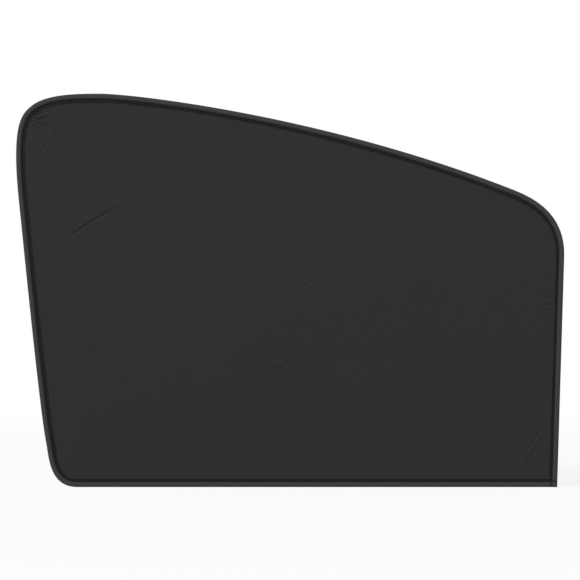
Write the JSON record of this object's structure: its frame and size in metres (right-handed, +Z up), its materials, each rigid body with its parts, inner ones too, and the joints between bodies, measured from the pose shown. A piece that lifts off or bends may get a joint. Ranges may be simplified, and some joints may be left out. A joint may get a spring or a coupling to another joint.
{
  "type": "car side window sunshade",
  "caption": "Flat cloth sunshade shaped to a car side window, held taut by a hidden spring wire hoop in a folded edge tape, with bar magnets in the edge.",
  "frame": {"origin": "middle of the bottom edge, on the middle plane of the cloth", "axes": "+X along the bottom edge towards the square corner, +Y through the thickness towards the window, +Z up"},
  "size_m": [0.7002, 0.0052, 0.5025],
  "materials": {
    "cloth": "plain woven black polyester, matt",
    "edge_tape": "woven black tape, folded and sewn",
    "spring_wire": "bright spring steel wire",
    "ferrule_metal": "plated steel tube, crimped",
    "magnet_plating": "nickel plated magnet"
  },
  "bodies": {
    "root": {"fabric_panel": "cloth", "edge_binding": "edge_tape", "spring_wire_hoop": "spring_wire", "wire_ferrule": "ferrule_metal", "magnet_top_1": "magnet_plating", "magnet_top_2": "magnet_plating", "magnet_top_3": "magnet_plating", "magnet_top_4": "magnet_plating", "magnet_left_1": "magnet_plating", "magnet_left_2": "magnet_plating", "magnet_right_1": "magnet_plating", "magnet_right_2": "magnet_plating"}
  },
  "joints": []
}
